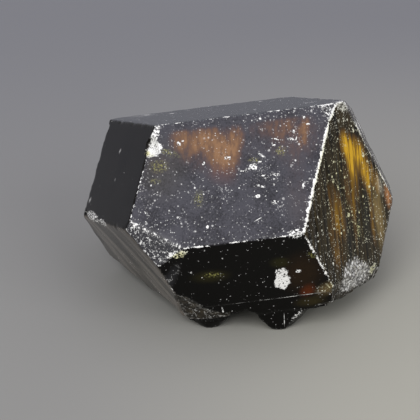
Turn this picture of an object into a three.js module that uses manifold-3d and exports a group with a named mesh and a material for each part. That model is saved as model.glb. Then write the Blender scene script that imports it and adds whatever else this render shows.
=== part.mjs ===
// A melanite garnet crystal: one black dodecahedron that was broken off its matrix and rests on the break.
// Units are millimetres and +Z is up. While the crystal is cut, x and y are measured from its growth
// centre and z from the surface it rests on. At the end its box is centred over the origin.

import * as THREE from 'three';
import { ConvexGeometry } from 'three/addons/geometries/ConvexGeometry.js';
import { ImprovedNoise } from 'three/addons/math/ImprovedNoise.js';
import { mergeVertices } from 'three/addons/utils/BufferGeometryUtils.js';
import Module from 'manifold-3d';

// Driving dimensions
const CENTRE_HEIGHT = 7;
const CRYSTAL_TURN = [130.9, 41.7, 48.5];
const REACH = 60;

// The twelve dodecahedron faces: Miller indices and distance from the growth centre.
// Uneven growth has pushed some faces out much further than others.
const MAIN_FACE = { face: [1, 1, 0], distance: 7.2 };
const TOP_FACE = { face: [1, 0, -1], distance: 7.45 };
const FRONT_FACE = { face: [0, 1, 1], distance: 8.5 };
const LEFT_FACE = { face: [0, 1, -1], distance: 7.6 };
const LOWER_LEFT_FACE = { face: [-1, 1, 0], distance: 7.25 };
const STRIATED_FACE = { face: [1, 0, 1], distance: 10.6 };
const REAR_RIGHT_FACE = { face: [1, -1, 0], distance: 13.15 };
const LOWER_RIGHT_FACE = { face: [0, -1, 1], distance: 13.25 };
const BOTTOM_FACE = { face: [-1, 0, 1], distance: 7.7 };
const REAR_LEFT_FACE = { face: [-1, 0, -1], distance: 10 };
const LOWER_REAR_FACE = { face: [-1, -1, 0], distance: 8.8 };
const REAR_FACE = { face: [0, -1, -1], distance: 11.4 };

// Small faces that bevel the edges and corners
const FRONT_LEFT_BEVEL = { face: [1, 5, 1], distance: 9.3 };
const TOP_CORNER_BEVEL = { face: [8, 4, 1], distance: 10.15 };
const RIGHT_RIM_BEVEL = { face: [2, -1, 1], distance: 13.05 };
const TOP_RIGHT_BEVEL = { face: [2, -1, -1], distance: 11.4 };
const TOP_REAR_BEVEL = { face: [1, -1, -2], distance: 10.5 };

const FACES = [
  MAIN_FACE, TOP_FACE, FRONT_FACE, LEFT_FACE, LOWER_LEFT_FACE, STRIATED_FACE,
  REAR_RIGHT_FACE, LOWER_RIGHT_FACE, BOTTOM_FACE, REAR_LEFT_FACE, LOWER_REAR_FACE, REAR_FACE,
  FRONT_LEFT_BEVEL, TOP_CORNER_BEVEL, RIGHT_RIM_BEVEL, TOP_RIGHT_BEVEL, TOP_REAR_BEVEL,
];

// Growth ledges: the face below each line is sunk a little, down to the face's lower edge.
// The layer that each one cuts away has that height, starts at the sunk part and ends clear of the face.
const LEDGES = [
  { plane: FRONT_FACE, at: [4.35, -7.5, 3.05], line: [1, -1, 1], sunk: 0.15, height: 5 },
  { plane: REAR_FACE, at: [1, 11.8, 9.4], line: [1, -1, 1], sunk: 0.18, height: 4 },
  { plane: REAR_RIGHT_FACE, at: [11.5, 6, 11], line: [1, 1, 1], sunk: 0.15, height: 6 },
];
const LEDGE_LAYER = 2;

// Growth striations on the right-hand face: shallow boat-shaped grooves, nearly upright.
// Place and length sway from one groove to the next.
const STRIATIONS = { line: [1, 0, -1], count: 17, first: -5.2, spacing: 0.82, halfWidth: 0.34, depth: 0.1 };
const STRIATION_HALF_LENGTH = { middle: 3.4, sway: 1.2, rate: 1.7 };
const STRIATION_ACROSS = { sway: 0.2, rate: 2.3 };
const STRIATION_ALONG = { sway: 1.6, rate: 2.9 };

// Break surfaces, where the crystal tore off its matrix. The underside keeps a boss that it rests on.
const BREAK_CELL = 0.62;
const BREAK_THICKNESS = 12;
const UNDERSIDE = { at: [1.5, 1.5, 1.62], normal: [0.045, 0, -1], size: [27, 25], relief: 0.5 };
const REAR_BREAK = { at: [0, 7.9, 3], normal: [-0.12, 0.66, -0.74], size: [15, 9], relief: 0.45 };
const FRONT_LEFT_BREAK = {
  at: [-1.6, -7.3, 2.75], normal: [-0.22, -0.766, -0.604], size: [8, 7], relief: 0.16,
};
const FRONT_RIGHT_BREAK = {
  at: [11.15, -4.2, 3.25], normal: [0.82, -0.56, -0.12], size: [8, 7], relief: 0.26,
};
const BREAK_HOLLOWS = { rate: 0.34, height: 1.5, seed: 3 };
const BREAK_RIPPLE = { rate: 1.1, height: 0.6, seed: 7 };
const BOSS = { at: [2.1, 1.7], reach: [5.6, 4], drop: 1.75, squareness: 4 };

// Teeth that hang below the front of the break, as the corners of each one's hull
const RIGHT_TOOTH = [
  [2.9, -7.24, 2.1], [3.94, -6.9, 0.95], [4.72, -6.64, 0.02], [5.5, -6.58, -0.1], [5.75, -6.97, 1.75],
  [5.71, -7.2, 3], [6.28, -6.1, 0.12], [6.92, -5.7, 0.5], [7.78, -5.7, 1.65], [8, -6.8, 3.1],
  [3.8, -4, 0.9], [5.2, -3.6, 0.2], [7.2, -3.8, 1], [3, -3.4, 2.6], [8, -3.4, 2.8],
];
const LEFT_TOOTH = [
  [-2.3, -5.9, 1.16], [-1, -6.05, 0.7], [-0.8, -5.85, 0], [-0.2, -6.3, -0.1], [0.45, -6.15, -0.1],
  [1.25, -5.4, 0.1], [1.48, -6.7, 1.3], [0.65, -7.35, 2.4], [-1, -7.4, 3], [-2.6, -6.9, 3.1],
  [-1.6, -3.4, 0.6], [1, -3.2, 0.5], [-2.6, -3.6, 1.9], [2, -3, 2.2], [0, -5, 3.4],
];

// Bites out of the edges and corners: place, half size along x, y and z, and noise seed
const CHIPS = [
  { at: [-4.7, -3.5, 13.95], half: [1.1, 1.35, 0.95], seed: 5 },
  { at: [-4.4, -2.2, 14.95], half: [0.75, 0.8, 0.45], seed: 6 },
  { at: [-10.1, 1.6, 5.8], half: [0.55, 1, 0.5], seed: 8 },
  { at: [-9.1, -0.7, 6.6], half: [0.4, 1.1, 0.3], seed: 9 },
  { at: [-7.85, -4.2, 7.6], half: [0.45, 0.6, 0.3], seed: 13 },
  { at: [-2.4, -9.4, 7.75], half: [0.75, 0.5, 0.5], seed: 21 },
  { at: [-4.6, -9.3, 7.6], half: [0.6, 0.6, 0.7], seed: 27 },
  { at: [9.75, -7.55, 3.4], half: [1, 0.8, 0.9], seed: 34 },
  { at: [8.1, -7.85, 3.3], half: [0.9, 0.45, 0.5], seed: 55 },
  { at: [9, -7.05, 2.1], half: [1.3, 0.85, 0.6], seed: 61 },
  { at: [12.25, 1.4, 13.3], half: [0.6, 0.7, 0.8], seed: 89 },
  { at: [10.2, 0.1, 16.4], half: [0.9, 0.6, 0.35], seed: 97 },
  { at: [14.2, 2.3, 8.9], half: [0.55, 0.6, 0.7], seed: 101 },
  { at: [14.75, 2.6, 5.3], half: [0.6, 0.8, 0.8], seed: 105 },
  { at: [-9, 8.3, 10.4], half: [1.1, 1.2, 1], seed: 144 },
  { at: [9.6, 12.6, 7.2], half: [1.5, 1, 1.3], seed: 233 },
  { at: [2.7, -7.5, 1.25], half: [1.05, 1.4, 0.85], seed: 377 },
];
const CHIP_UNEVENNESS = { rate: 1.7, height: 0.3 };

// Tolerances: planes this close to parallel don't meet, and points this close are one point
const PARALLEL = 1e-6;
const SAME_POINT = 1e-4;

// Finish
const BODY = { color: 0x17130f, roughness: 0.22, metalness: 0, flatShading: true };

const wasm = await Module();
wasm.setup();
const noise = new ImprovedNoise();
const degrees = THREE.MathUtils.degToRad;
const turn = new THREE.Matrix4().makeRotationFromEuler(new THREE.Euler(...CRYSTAL_TURN.map(degrees), 'XYZ'));
const centre = new THREE.Vector3(0, 0, CENTRE_HEIGHT);

// A direction given in Miller indices, turned to how the crystal lies
function direction(indices) {
  return new THREE.Vector3(...indices).normalize().transformDirection(turn);
}

// The plane of one crystal face
function facePlane({ face, distance }) {
  const normal = direction(face);
  return new THREE.Plane(normal, -(normal.dot(centre) + distance));
}

// A closed solid from any closed three.js geometry
function solid(geometry) {
  const bare = geometry.clone();
  bare.deleteAttribute('normal');
  bare.deleteAttribute('uv');
  const merged = mergeVertices(bare, SAME_POINT);
  return new wasm.Manifold(new wasm.Mesh({
    numProp: 3,
    vertProperties: new Float32Array(merged.attributes.position.array),
    triVerts: new Uint32Array(merged.index.array),
  }));
}

// The point where three planes meet, or null if two of them are parallel
function meeting(a, b, c) {
  const first = new THREE.Vector3().crossVectors(b.normal, c.normal);
  const second = new THREE.Vector3().crossVectors(c.normal, a.normal);
  const third = new THREE.Vector3().crossVectors(a.normal, b.normal);
  const volume = a.normal.dot(first);
  if (Math.abs(volume) < PARALLEL) {
    return null;
  }
  const point = new THREE.Vector3();
  point.addScaledVector(first, -a.constant / volume);
  point.addScaledVector(second, -b.constant / volume);
  point.addScaledVector(third, -c.constant / volume);
  return point;
}

// The points where three of the planes meet inside all the others
function cornersInside(planes) {
  const corners = [];
  for (let i = 0; i < planes.length; i++) {
    for (let j = i + 1; j < planes.length; j++) {
      for (let k = j + 1; k < planes.length; k++) {
        const corner = meeting(planes[i], planes[j], planes[k]);
        const inside = corner && planes.every((plane) => plane.distanceToPoint(corner) < SAME_POINT);
        if (inside && !corners.some((other) => other.distanceTo(corner) < SAME_POINT)) {
          corners.push(corner);
        }
      }
    }
  }
  return corners;
}

// The crystal's flat faces
function habit() {
  return solid(new ConvexGeometry(cornersInside(FACES.map(facePlane))));
}

// A lump from the corners of its hull
function lump(corners) {
  return solid(new ConvexGeometry(corners.map((corner) => new THREE.Vector3(...corner))));
}

// Smooth noise at a point, with one wave in about 1 / rate millimetres
function waves({ rate, height, seed }, point) {
  return height * noise.noise(point.x * rate, point.y * rate, point.z * rate + seed);
}

// How far the underside bulges down at a point, onto the surface that the crystal rests on
function bossDrop(point) {
  const [x, y] = BOSS.at;
  const [reachX, reachY] = BOSS.reach;
  const away = ((point.x - x) / reachX) ** BOSS.squareness + ((point.y - y) / reachY) ** BOSS.squareness;
  return BOSS.drop * Math.exp(-away);
}

// A block to cut away whose near face is a rough break: broad hollows with a finer ripple on them
function breakBlock(surface) {
  const { at, normal, size, relief } = surface;
  const [width, depth] = size;
  const outward = new THREE.Vector3(...normal).normalize();
  const facing = new THREE.Quaternion().setFromUnitVectors(new THREE.Vector3(0, 0, 1), outward);
  const [columns, rows] = [Math.round(width / BREAK_CELL), Math.round(depth / BREAK_CELL)];
  const block = new THREE.BoxGeometry(width, depth, BREAK_THICKNESS, columns, rows, 1);
  block.translate(0, 0, BREAK_THICKNESS / 2);
  const position = block.attributes.position;
  const point = new THREE.Vector3();
  for (let i = 0; i < position.count; i++) {
    const near = position.getZ(i) < BREAK_THICKNESS / 2;
    point.fromBufferAttribute(position, i).applyQuaternion(facing).add(new THREE.Vector3(...at));
    if (near) {
      const roughness = relief * (waves(BREAK_HOLLOWS, point) + waves(BREAK_RIPPLE, point));
      const drop = surface === UNDERSIDE ? bossDrop(point) : 0;
      point.addScaledVector(outward, roughness + drop);
    }
    position.setXYZ(i, point.x, point.y, point.z);
  }
  return solid(block);
}

// A small uneven bite out of an edge
function chip({ at, half, seed }) {
  const bite = new THREE.IcosahedronGeometry(1, 1);
  const position = bite.attributes.position;
  const point = new THREE.Vector3();
  for (let i = 0; i < position.count; i++) {
    point.fromBufferAttribute(position, i);
    point.multiplyScalar(1 + waves({ ...CHIP_UNEVENNESS, seed }, point));
    position.setXYZ(i, point.x, point.y, point.z);
  }
  bite.scale(...half);
  bite.translate(...at);
  return solid(bite);
}

// A frame on a crystal face: x across the line, y along it and z out of the face
function faceFrame(face, line) {
  const out = direction(face);
  const along = direction(line);
  const across = new THREE.Vector3().crossVectors(along, out);
  return { out, along, across, basis: new THREE.Matrix4().makeBasis(across, along, out) };
}

// How far something sways at one groove
function sway({ sway: reach, rate }, index) {
  return reach * Math.sin(rate * index);
}

// One growth striation: a shallow groove that is deepest in its middle
function striation(index) {
  const { out, along, across, basis } = faceFrame(STRIATED_FACE.face, STRIATIONS.line);
  const halfLength = STRIATION_HALF_LENGTH.middle + sway(STRIATION_HALF_LENGTH, index);
  const groove = new THREE.OctahedronGeometry(1);
  groove.scale(STRIATIONS.halfWidth, halfLength, STRIATIONS.depth);
  groove.applyMatrix4(basis);
  const place = centre.clone().addScaledVector(out, STRIATED_FACE.distance);
  const step = STRIATIONS.first + STRIATIONS.spacing * index;
  place.addScaledVector(across, step + sway(STRIATION_ACROSS, index));
  place.addScaledVector(along, sway(STRIATION_ALONG, index));
  groove.translate(place.x, place.y, place.z);
  return solid(groove);
}

// The layer that is missing from a face below its ledge
function ledgeLayer({ plane, at, line, sunk, height }) {
  const { out, across, basis } = faceFrame(plane.face, line);
  const layer = new THREE.BoxGeometry(height, REACH, LEDGE_LAYER);
  const downward = Math.sign(-across.z);
  layer.translate(downward * height / 2, 0, LEDGE_LAYER / 2 - sunk);
  layer.applyMatrix4(basis);
  const edge = new THREE.Vector3(...at);
  edge.addScaledVector(out, -facePlane(plane).distanceToPoint(edge));
  layer.translate(edge.x, edge.y, edge.z);
  return solid(layer);
}

// Everything below the surface that the crystal rests on
function belowRest() {
  const slab = new THREE.BoxGeometry(REACH, REACH, REACH);
  slab.translate(0, 0, -REACH / 2);
  return solid(slab);
}

// A three.js geometry from a solid
function geometryOf(body) {
  const mesh = body.getMesh();
  const geometry = new THREE.BufferGeometry();
  geometry.setAttribute('position', new THREE.BufferAttribute(new Float32Array(mesh.vertProperties), 3));
  geometry.setIndex(new THREE.BufferAttribute(new Uint32Array(mesh.triVerts), 1));
  return geometry;
}

// The crystal: its flat faces, torn underside, the teeth left on it, its growth marks and its chips
function garnetCrystal() {
  let crystal = habit();
  for (const ledge of LEDGES) {
    crystal = crystal.subtract(ledgeLayer(ledge));
  }
  for (const surface of [UNDERSIDE, FRONT_LEFT_BREAK, FRONT_RIGHT_BREAK, REAR_BREAK]) {
    crystal = crystal.subtract(breakBlock(surface));
  }
  for (const corners of [RIGHT_TOOTH, LEFT_TOOTH]) {
    crystal = crystal.add(lump(corners));
  }
  for (let index = 0; index < STRIATIONS.count; index++) {
    crystal = crystal.subtract(striation(index));
  }
  for (const bite of CHIPS) {
    crystal = crystal.subtract(chip(bite));
  }
  const geometry = geometryOf(crystal.subtract(belowRest()));
  geometry.computeBoundingBox();
  const middle = geometry.boundingBox.getCenter(new THREE.Vector3());
  geometry.translate(-middle.x, -middle.y, 0);
  geometry.computeVertexNormals();
  const mesh = new THREE.Mesh(geometry, new THREE.MeshStandardMaterial(BODY));
  mesh.name = 'garnet_crystal';
  return mesh;
}

const specimen = new THREE.Group();
specimen.add(garnetCrystal());

export default specimen;
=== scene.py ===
"""Dresses a black garnet crystal: its fine worn surface, its finish, a plain stage and the camera."""

import math

import bmesh
import bpy
import numpy as np
from bpy.props import FloatProperty, FloatVectorProperty, PointerProperty
from mathutils import Euler, Matrix, Vector, noise


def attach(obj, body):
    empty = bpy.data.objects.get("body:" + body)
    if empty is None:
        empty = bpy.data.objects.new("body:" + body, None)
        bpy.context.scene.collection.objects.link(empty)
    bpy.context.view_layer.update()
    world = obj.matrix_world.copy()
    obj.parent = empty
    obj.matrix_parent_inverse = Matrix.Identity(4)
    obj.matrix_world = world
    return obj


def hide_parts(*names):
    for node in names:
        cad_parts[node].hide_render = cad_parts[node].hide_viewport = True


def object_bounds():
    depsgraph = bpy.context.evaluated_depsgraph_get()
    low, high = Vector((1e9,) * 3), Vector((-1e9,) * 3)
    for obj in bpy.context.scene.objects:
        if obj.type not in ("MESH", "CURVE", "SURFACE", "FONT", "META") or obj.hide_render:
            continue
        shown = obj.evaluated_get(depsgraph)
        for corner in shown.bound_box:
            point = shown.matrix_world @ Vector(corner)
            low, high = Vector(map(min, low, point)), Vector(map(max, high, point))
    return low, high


bl_info = {
    "name": "Black garnet crystal",
    "version": (1, 0, 0),
    "blender": (4, 5, 0),
    "location": "View3D > Sidebar > Garnet",
    "description": "Builds the worn surface and finish of a black garnet crystal, and a plain stage for it",
    "category": "Object",
}

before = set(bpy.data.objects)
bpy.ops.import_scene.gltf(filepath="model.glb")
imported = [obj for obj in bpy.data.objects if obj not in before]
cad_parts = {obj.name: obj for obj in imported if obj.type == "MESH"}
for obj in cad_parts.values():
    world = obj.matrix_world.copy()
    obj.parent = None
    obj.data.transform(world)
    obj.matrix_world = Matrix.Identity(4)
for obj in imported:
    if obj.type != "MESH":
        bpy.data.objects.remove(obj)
CAD_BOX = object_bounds()
NODE = "garnet_crystal"

# Where the camera stands, from the growth centre
VIEW_FROM = Vector((0, -113.166, 52.77))

# The floor's radius and how far it lies below the crystal, in metres
FLOOR_RADIUS = 1.5
FLOOR_DROP = 0.00002

# Where the floor's painted light turns from dim to bright, along Y and along X, in millimetres
FLOOR_FAR_TO_NEAR = (72, -28)
FLOOR_LEFT_TO_RIGHT = (-16, 14)

# Where the two suns come from, their tints and how broad they are in degrees
KEY_FROM = (-0.35, -0.72, 0.6)
FILL_FROM = (0.62, -0.66, 0.42)
KEY_TINT = (1, 0.99, 0.97)
FILL_TINT = (1, 1, 1)
SUN_ANGLE = 40

# Light from the sides and from above, and the heights between which one turns into the other
SIDE_TINT = (1, 1, 1.02)
SKY_TINT = (1, 0.98, 1.08)
SKY_BEGINS, SKY_FULL = 0.35, 0.85

# Width of the camera's sensor in millimetres
SENSOR_WIDTH = 36

# Millimetres to metres. Shapes and patterns below are worked out in millimetres.
MM = 0.001

# How the crystal lies, as its solid has it: growth centre and turn
GROWTH_CENTRE = Vector((-2.2383, -1.5265, 7.0))
CRYSTAL_TURN = Euler([math.radians(angle) for angle in (130.9, 41.7, 48.5)], "ZYX").to_matrix()

# Crystal faces: Miller indices and distance from the growth centre
FACES = {
    "main": ((1, 1, 0), 7.2),
    "top": ((1, 0, -1), 7.45),
    "front": ((0, 1, 1), 8.5),
    "left": ((0, 1, -1), 7.6),
    "lower_left": ((-1, 1, 0), 7.25),
    "striated": ((1, 0, 1), 10.6),
    "rear_right": ((1, -1, 0), 13.15),
    "lower_right": ((0, -1, 1), 13.25),
    "bottom": ((-1, 0, 1), 7.7),
    "rear_left": ((-1, 0, -1), 10),
    "lower_rear": ((-1, -1, 0), 8.8),
    "rear": ((0, -1, -1), 11.4),
    "front_left_bevel": ((1, 5, 1), 9.3),
    "top_corner_bevel": ((8, 4, 1), 10.15),
    "right_rim_bevel": ((2, -1, 1), 13.05),
    "top_right_bevel": ((2, -1, -1), 11.4),
    "top_rear_bevel": ((1, -1, -2), 10.5),
}
NAMES = list(FACES)

# Growth ledges: face, a point on the ledge from the growth centre, its line and the drop below it
LEDGES = (
    ("front", (4.35, -7.5, -3.95), (1, -1, 1), 0.15),
    ("rear", (1, 11.8, 2.4), (1, -1, 1), 0.18),
    ("rear_right", (11.5, 6, 4), (1, 1, 1), 0.15),
)
LEDGE_STEP = 0.08

# Growth striations on the striated face: boat-shaped grooves that sway in place and length
STRIATION_LINE = (1, 0, -1)
STRIATION_COUNT = 17
STRIATION_FIRST = -5.2
STRIATION_SPACING = 0.82
STRIATION_HALF_WIDTH = 0.34
STRIATION_HALF_LENGTH = 3.4
STRIATION_DEPTH = 0.1
SWAY_ACROSS = 0.2
SWAY_ALONG = 1.6
SWAY_OF_LENGTH = 1.2

# Nicks in the edges, coarse and fine: waves per millimetre, seed, how much of the edge and how deep
NICKS = ((1.1, 11.5, 0.15, 0.09), (3.1, 4.3, 0, 0.06))
NICK_REACH = 0.3

# Torn surface of the breaks, its swells and its ridges: waves per millimetre, seed and height
BREAK_SWELLS = (0.9, 3.1, 0.13)
BREAK_RIDGES = (2.1, 8.7, 0.09)

# How far inside the habit a break's roughness starts and is full, and how high above the flats of its feet
BREAK_STARTS, BREAK_FULL = 0.1, 0.5
FOOT_ENDS, FOOT_CLEAR = 0.05, 0.3

# Times that the faces are flattened, each closer than the last
FLATTENING_PASSES = 4

# Half the width over which one face's finish turns into the next one's
FACE_BLEND = 0.04

# The full core of a soft place, and the distance of anything far from a patch, in half sizes
SOFT_CORE = 0.2
FAR_FROM_PATCHES = 3.0

# Worn edges: the two faces, the width of the white wear and how much of the edge it covers
EDGE_WEAR = (
    ("main", "striated", 0.155, 0.27),
    ("main", "front", 0.072, 0.29),
    ("front", "striated", 0.12, 0.26),
    ("main", "top", 0.075, 0.26),
    ("main", "left", 0.08, 0.24),
    ("main", "front_left_bevel", 0.18, 0.12),
    ("front", "front_left_bevel", 0.1, 0.06),
    ("left", "front_left_bevel", 0.1, 0.1),
    ("lower_left", "front_left_bevel", 0.08, 0.05),
    ("left", "lower_left", 0.09, 0.04),
    ("lower_left", "front", 0.1, 0.1),
    ("main", "top_corner_bevel", 0.12, 0.2),
    ("striated", "top_corner_bevel", 0.16, 0.22),
    ("top", "top_corner_bevel", 0.14, 0.24),
    ("top", "striated", 0.14, 0.24),
    ("striated", "rear_right", 0.12, 0.15),
    ("striated", "right_rim_bevel", 0.12, 0.15),
    ("front", "bottom", 0.05, -0.2),
    ("left", "top", 0.06, -0.05),
)
OTHER_EDGE_WEAR = (0.1, 0.1)

# How much of each finish the faces have
# Haze: fine scratches, and a painted sheen that stands in for the main face's reflection of the overhead
# light
HAZE_AND_SHEEN = {
    "main": 1, "rear": 0.6, "rear_right": 0.5, "rear_left": 0.35, "lower_right": 0.3, "lower_rear": 0.25,
    "top_right_bevel": 0.6, "top_rear_bevel": 0.6,
}
# Painted reflection: the pale grey that the top face catches from the floor behind it at a grazing angle
TOP_REFLECTION = {"top": 1}
# Painted reflection: the lower left face's grey, from the floor, laid in stripes
STRIPED_REFLECTION = {"lower_left": 1, "rear_left": 0.35, "lower_rear": 0.3, "left": 0.02}
STREAKED = {"striated": 1, "lower_right": 0.7, "right_rim_bevel": 1}
ABRADED = {
    "front_left_bevel": 1, "top_corner_bevel": 1, "right_rim_bevel": 0.5, "top_right_bevel": 0.5,
    "top_rear_bevel": 0.5,
}
DUSTY = {
    "main": 0.34, "striated": 0.4, "top": 0.2, "left": 0.015, "lower_left": 0.05, "front": 0.08,
    "front_left_bevel": 0.25, "top_corner_bevel": 0.4, "right_rim_bevel": 0.6, "rear_right": 0.3, "rear": 0.3,
    "lower_right": 0.2, "rear_left": 0.2, "bottom": 0.1, "lower_rear": 0.1,
}
FACE_FINISHES = {
    "haze": HAZE_AND_SHEEN, "pale": TOP_REFLECTION, "striped": STRIPED_REFLECTION, "streaked": STREAKED, "abraded": ABRADED, "dusty": DUSTY,
}


def direction(indices):
    """The unit direction of some Miller indices, turned to how the crystal lies."""
    return (CRYSTAL_TURN @ Vector(indices)).normalized()


NORMALS = np.array([direction(FACES[name][0]) for name in NAMES])
LEVELS = np.array([direction(indices).dot(GROWTH_CENTRE) + distance for indices, distance in FACES.values()])


def noise_at(points, rate, seed):
    """Smooth noise from about -1 to 1 at each point, with about one wave in 1 / rate millimetres."""
    shift = Vector((seed, seed * 1.7, seed * 2.3))
    return np.array([noise.noise(Vector(point) * rate + shift) for point in points])


def smooth(values, low, high):
    """0 below low, 1 above high and a smooth step between them."""
    share = np.clip((values - low) / (high - low), 0, 1)
    return share * share * (3 - 2 * share)


def face_axes(name):
    """A face's axes: to the right as one looks at it, up it, and out of it."""
    out = direction(FACES[name][0])
    right = Vector((0, 0, 1)).cross(out).normalized()
    return right, out.cross(right), out


def on_face(name, right, up):
    """A point of a face, in millimetres to the right of and up from the foot of the growth centre."""
    axes = face_axes(name)
    return GROWTH_CENTRE + axes[2] * FACES[name][1] + axes[0] * right + axes[1] * up


def ledge_depth(points, ledge):
    """How far a ledge sinks the face at each point."""
    name, at, line, sunk = ledge
    across = direction(line).cross(direction(FACES[name][0]))
    if across.z > 0:
        across.negate()
    below = (points - np.array(GROWTH_CENTRE + Vector(at))) @ np.array(across)
    return sunk * smooth(below, -LEDGE_STEP / 2, LEDGE_STEP / 2)


def striation_depth(points):
    """How far the growth striations sink the striated face at each point."""
    out = direction(FACES["striated"][0])
    along = direction(STRIATION_LINE)
    across = along.cross(out)
    local = points - np.array(GROWTH_CENTRE)
    x, y = local @ np.array(across), local @ np.array(along)
    depth = np.zeros(len(points))
    for index in range(STRIATION_COUNT):
        middle_x = STRIATION_FIRST + STRIATION_SPACING * index + SWAY_ACROSS * math.sin(2.3 * index)
        middle_y = SWAY_ALONG * math.sin(2.9 * index)
        half_length = STRIATION_HALF_LENGTH + SWAY_OF_LENGTH * math.sin(1.7 * index)
        boat = 1 - np.abs(x - middle_x) / STRIATION_HALF_WIDTH - np.abs(y - middle_y) / half_length
        depth = np.maximum(depth, STRIATION_DEPTH * boat)
    return depth


def face_gaps(points):
    """Each point's distance outside each face, with ledges and striations taken off the faces."""
    gaps = points @ NORMALS.T - LEVELS
    for ledge in LEDGES:
        gaps[:, NAMES.index(ledge[0])] += ledge_depth(points, ledge)
    gaps[:, NAMES.index("striated")] += striation_depth(points)
    return gaps


def nick_depth(points, edge_gap):
    """How far wear has nicked the edges at each point: uneven, and nothing away from an edge."""
    depth = np.zeros(len(points))
    for rate, seed, more, deep in NICKS:
        depth += deep * np.clip(noise_at(points, rate, seed) + more, 0, None)
    return smooth(-edge_gap, -NICK_REACH, 0) * depth


def break_relief(points):
    """How far the torn surface of a break stands out at each point."""
    rate, seed, height = BREAK_SWELLS
    swells = height * noise_at(points, rate, seed)
    rate, seed, height = BREAK_RIDGES
    return swells + height * np.abs(noise_at(points, rate, seed))


def habit_gap(points, rounding, nicks):
    """Each point's distance outside the worn habit, and the direction in which it grows."""
    gaps = face_gaps(points)
    highest = gaps.max(1)
    share = np.exp((gaps - highest[:, None]) / rounding)
    total = share.sum(1)
    slope = (share / total[:, None]) @ NORMALS
    return highest + rounding * np.log(total) + nicks, slope


def second_gap(gaps):
    """How far inside the second nearest face each point is."""
    return -np.partition(gaps, -2, axis=1)[:, -2]


def face_shares(points):
    """1 where a face is the nearest one and 0 where another is, for each face."""
    gaps = points @ NORMALS.T - LEVELS
    shares = {}
    for own, name in enumerate(NAMES):
        others = np.delete(gaps, own, axis=1).max(1)
        shares[name] = smooth(gaps[:, own] - others, -FACE_BLEND, FACE_BLEND)
    return shares


def away_from(points, name, at, size, turn):
    """Each point's distance from a place on a face, 1 on an ellipse of that half size."""
    right, up, out = face_axes(name)
    tilt = Matrix.Rotation(math.radians(turn), 3, out)
    local = points - np.array(on_face(name, *at))
    axes = ((tilt @ right, size[0]), (tilt @ up, size[1]), (out, max(size)))
    return np.sqrt(sum((local @ np.array(axis) / length) ** 2 for axis, length in axes))


def spots(points, shares, places):
    """The sum of soft round spots: face, place on it, half size, turn and strength of each."""
    total = np.zeros(len(points))
    for name, at, size, turn, strength in places:
        total += strength * shares[name] * smooth(away_from(points, name, at, size, turn), 1, SOFT_CORE)
    return total


def tints(points, shares):
    """The colour of the tinted places laid over each other, and how much of it there is."""
    colour = np.zeros((len(points), 3))
    cover = np.zeros(len(points))
    for name, at, size, turn, strength, tint in TINTS:
        share = strength * shares[name] * smooth(away_from(points, name, at, size, turn), 1, SOFT_CORE)
        colour += share[:, None] * (np.array(tint) - colour)
        cover += share * (1 - cover)
    return colour / np.maximum(cover, 1e-6)[:, None], cover


def nearest_patch(points):
    """Each point's distance from the nearest white patch, 1 on its outline, and how full that patch is."""
    away = np.full(len(points), FAR_FROM_PATCHES)
    full = np.zeros(len(points))
    for name, at, size, turn, fullness in WHITE_PATCHES:
        here = away_from(points, name, at, size, turn)
        full[here < away] = fullness
        away = np.minimum(away, here)
    return away, full


def vertex_places(mesh):
    """A mesh's vertices in millimetres."""
    flat = np.empty(len(mesh.vertices) * 3, np.float32)
    mesh.vertices.foreach_get("co", flat)
    return flat.reshape(-1, 3).astype(float) / MM


def vertex_normals(mesh):
    """A mesh's vertex normals."""
    flat = np.empty(len(mesh.vertices) * 3, np.float32)
    mesh.vertex_normals.foreach_get("vector", flat)
    return flat.reshape(-1, 3).astype(float)


def set_places(mesh, places):
    """Moves a mesh's vertices, given in millimetres."""
    mesh.vertices.foreach_set("co", (places * MM).astype(np.float32).ravel())
    mesh.update()


def set_attribute(mesh, name, values):
    """Stores one number per vertex."""
    attribute = mesh.attributes.new(name, "FLOAT", "POINT")
    attribute.data.foreach_set("value", values.astype(np.float32))


def fine_copy(node, cell):
    """A new object with the node's shape, in even cells of that size."""
    shape = bmesh.new()
    shape.from_mesh(node.data)
    bmesh.ops.remove_doubles(shape, verts=shape.verts, dist=1e-7)
    mesh = bpy.data.meshes.new("garnet_surface")
    shape.to_mesh(mesh)
    shape.free()
    piece = bpy.data.objects.new("garnet_surface", mesh)
    bpy.context.scene.collection.objects.link(piece)
    even = piece.modifiers.new("even_cells", "REMESH")
    even.mode = "VOXEL"
    even.voxel_size = cell
    graph = bpy.context.evaluated_depsgraph_get()
    fine = bpy.data.meshes.new_from_object(piece.evaluated_get(graph))
    piece.modifiers.clear()
    piece.data = fine
    bpy.data.meshes.remove(mesh)
    fine.name = "garnet_surface"
    fine.shade_smooth()
    return piece


def edge_wear(gaps):
    """The width and cover of the wear on the edge nearest to each point."""
    order = np.argsort(gaps, axis=1)
    pair = np.sort(order[:, -2:], axis=1)
    width = np.full(len(gaps), OTHER_EDGE_WEAR[0])
    cover = np.full(len(gaps), OTHER_EDGE_WEAR[1])
    for first, second, edge_width, edge_cover in EDGE_WEAR:
        low, high = sorted((NAMES.index(first), NAMES.index(second)))
        here = (pair[:, 0] == low) & (pair[:, 1] == high)
        width[here] = edge_width
        cover[here] = edge_cover
    return width, cover


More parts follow.
